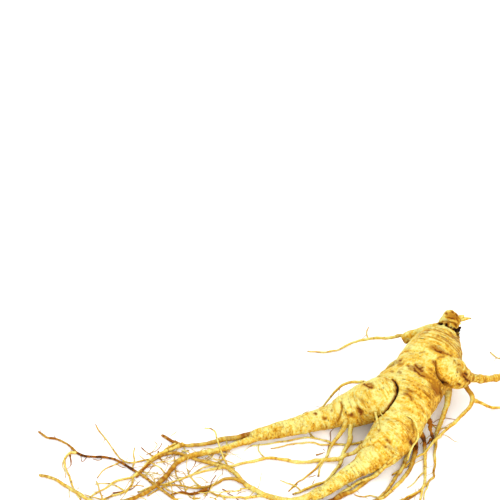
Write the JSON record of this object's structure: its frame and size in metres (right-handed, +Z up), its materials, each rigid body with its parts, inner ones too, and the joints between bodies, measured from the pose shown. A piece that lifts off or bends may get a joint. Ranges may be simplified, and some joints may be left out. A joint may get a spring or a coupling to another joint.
{
  "type": "ginseng root",
  "caption": "Fresh ginseng root lying on its side: ringed neck with a stem stub, stout body, two tapering legs, a bulbous arm and long trailing side roots.",
  "frame": {"origin": "the resting spot on the flat under the body, on the surface the root lies on", "axes": "+Z up; +X along the root's longest reach, from the leg tips towards the arm; +Y from the legs towards the neck"},
  "size_m": [0.3508, 0.1602, 0.0382],
  "materials": {
    "root_skin": "matt, finely ringed root skin with brown scars and specks"
  },
  "bodies": {
    "root": {"ginseng_root": "root_skin"}
  },
  "joints": []
}
